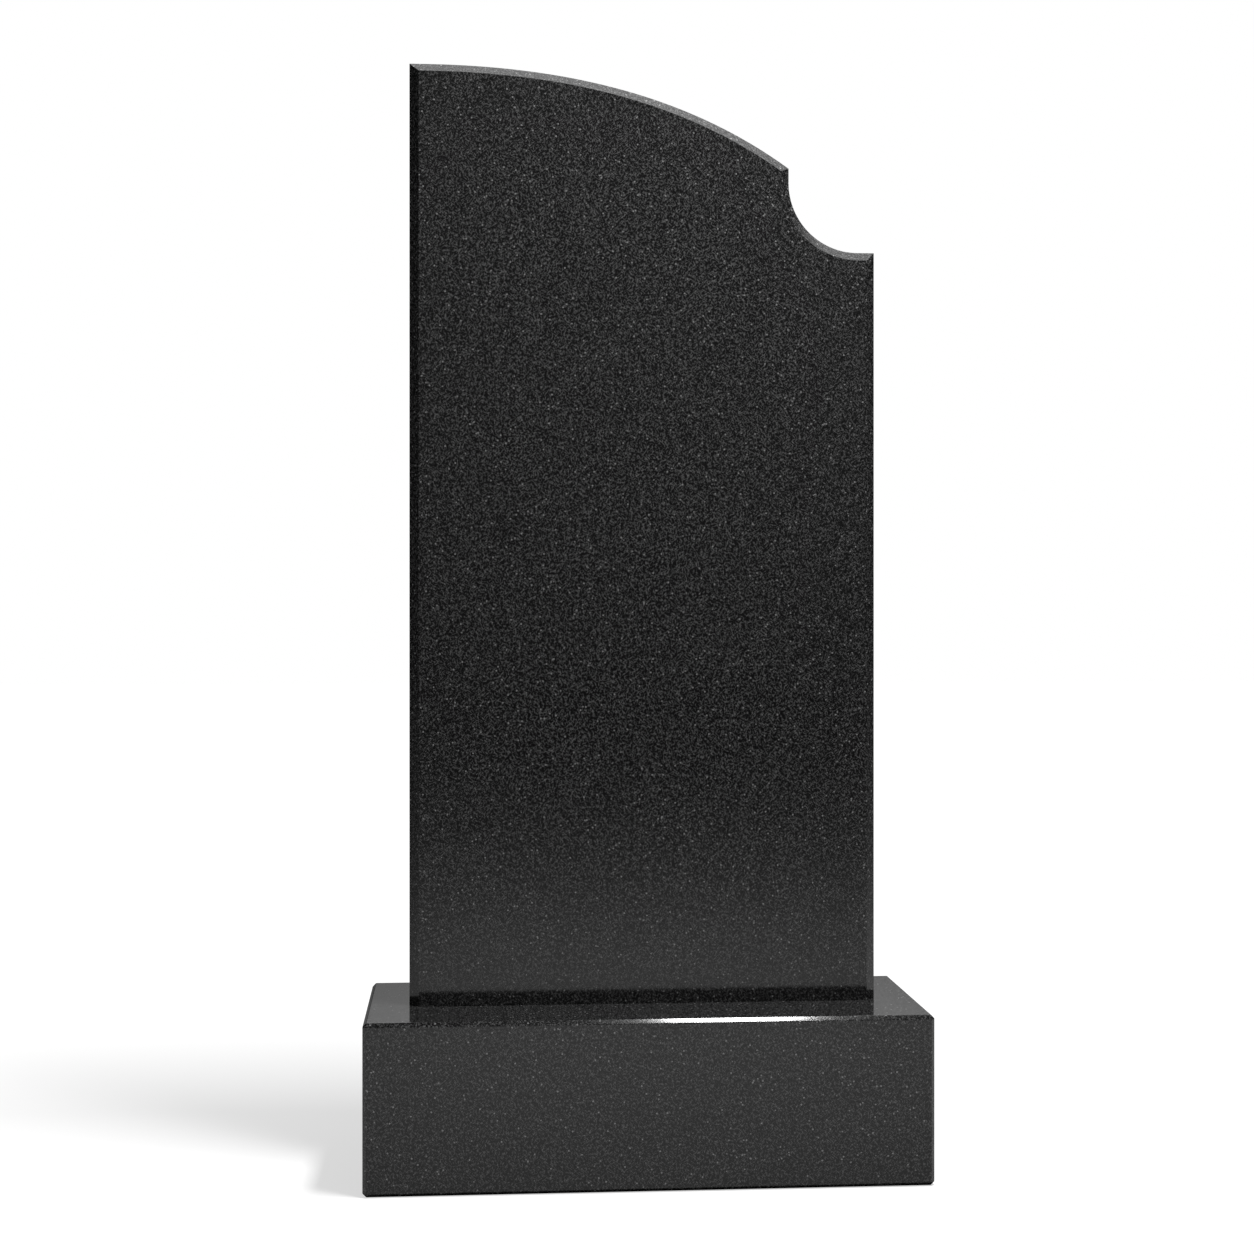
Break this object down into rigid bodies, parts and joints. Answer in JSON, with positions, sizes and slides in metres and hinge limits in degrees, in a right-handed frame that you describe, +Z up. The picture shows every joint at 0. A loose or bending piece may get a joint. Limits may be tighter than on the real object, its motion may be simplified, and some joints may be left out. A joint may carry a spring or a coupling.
{
  "type": "headstone",
  "caption": "Upright polished black granite headstone: a slab with a curved, falling top and a quarter-round notch in its right shoulder, standing on a low rectangular plinth.",
  "frame": {"origin": "middle of the plinth's underside", "axes": "+Z up, -Y out of the front face, +X to the right of someone who faces the stone, where the notch is"},
  "size_m": [0.59, 0.2, 1.1773],
  "materials": {
    "slab_granite": "polished black granite with a fine grey grain",
    "plinth_granite": "polished black granite with a fine grey grain"
  },
  "bodies": {
    "root": {"slab": "slab_granite", "plinth": "plinth_granite"}
  },
  "joints": []
}
